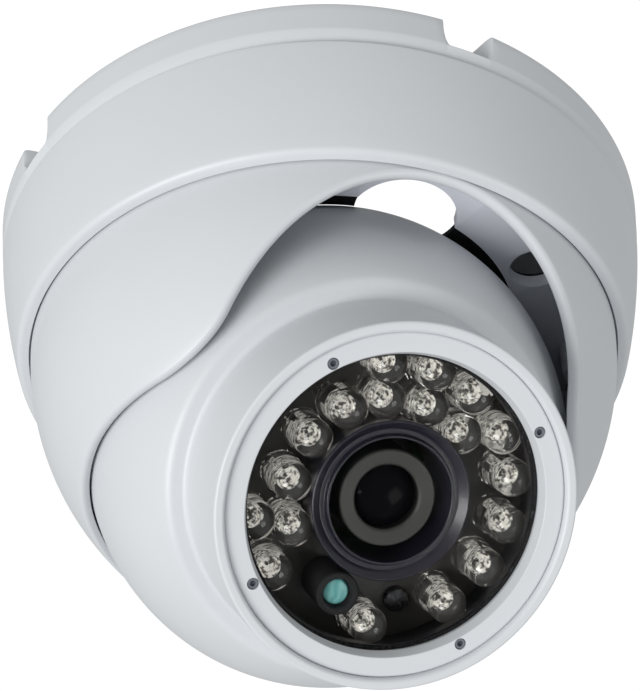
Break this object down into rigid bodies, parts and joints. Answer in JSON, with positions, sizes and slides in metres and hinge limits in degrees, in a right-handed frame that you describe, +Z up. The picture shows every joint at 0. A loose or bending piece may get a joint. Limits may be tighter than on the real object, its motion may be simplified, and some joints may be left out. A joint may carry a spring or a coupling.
{
  "type": "dome cctv camera",
  "caption": "Ceiling-mounted eyeball dome security camera with a round base, a turning shroud and a tilting ball holding a lens ringed by infrared lamps.",
  "frame": {"origin": "centre of the mounting face, on the pan axis, where the base meets the ceiling", "axes": "+Z up through the mounting face into the ceiling, -Y the way the lens faces at pan zero, +X to the camera's left as seen from the front"},
  "size_m": [0.0934, 0.0934, 0.077],
  "materials": {
    "housing_paint": "smooth satin powder coat",
    "black_rubber": "matt",
    "black_plastic": "fine moulded texture",
    "screw_steel": "zinc plated",
    "white_nylon": "satin",
    "dark_screw": "black oxide",
    "window_glass": "clear polished",
    "lamp_board": "black solder mask",
    "lamp_epoxy": "clear moulded",
    "sensor_teal": "glossy resin",
    "shroud_black": "semi-gloss purple black",
    "lens_black": "black anodised",
    "lens_grey": "satin",
    "lens_glass": "coated",
    "filter_glass": "coated",
    "sensor_package": "glossy",
    "circuit_board": "solder mask",
    "brass": "turned",
    "socket_ivory": "moulded"
  },
  "bodies": {
    "base": {"mounting_base": "housing_paint", "base_gasket": "black_rubber", "drum_cover": "housing_paint", "cover_screws": "screw_steel", "pan_friction_ring": "black_plastic"},
    "pan_stage": {"pan_shroud": "housing_paint", "pan_ring": "housing_paint", "dust_ring": "black_rubber", "ring_screws": "screw_steel", "tilt_pins": "screw_steel", "pivot_washers": "white_nylon"},
    "cradle": {"tilt_cradle": "black_plastic"},
    "eyeball": {"front_housing": "housing_paint", "rear_shell": "black_plastic", "shell_seal": "black_rubber", "roll_retainer": "black_plastic", "retainer_screws": "screw_steel", "cable_grommet": "black_rubber", "face_ring": "housing_paint", "face_screws": "dark_screw", "front_glass": "window_glass", "glass_gasket": "black_rubber", "led_board": "lamp_board", "led_lamps": "lamp_epoxy", "photocell": "sensor_teal", "photocell_sleeve": "black_rubber", "led_board_screw": "dark_screw", "lens_shroud": "shroud_black", "lens_barrel": "lens_black", "lens_front_ring": "lens_grey", "front_lens": "lens_glass", "rear_lens": "lens_glass", "lens_lock_ring": "lens_black", "lens_holder": "black_plastic", "ir_filter": "filter_glass", "image_sensor": "sensor_package", "camera_board": "circuit_board", "board_pillars": "brass", "wire_socket": "socket_ivory"}
  },
  "joints": [
    {"name": "pan", "type": "hinge", "parent": "base", "child": "pan_stage", "pos_m": [0, 0, -0.016], "axis": [0, 0, 1], "range_deg": [-175, 175]},
    {"name": "tilt", "type": "hinge", "parent": "pan_stage", "child": "cradle", "pos_m": [0, 0, -0.03684], "axis": [-1, 0, 0], "range_deg": [-40, 28]},
    {"name": "roll", "type": "hinge", "parent": "cradle", "child": "eyeball", "pos_m": [0, 0, -0.03684], "axis": [0, -0.6448, -0.7644], "range_deg": [-175, 175]}
  ]
}
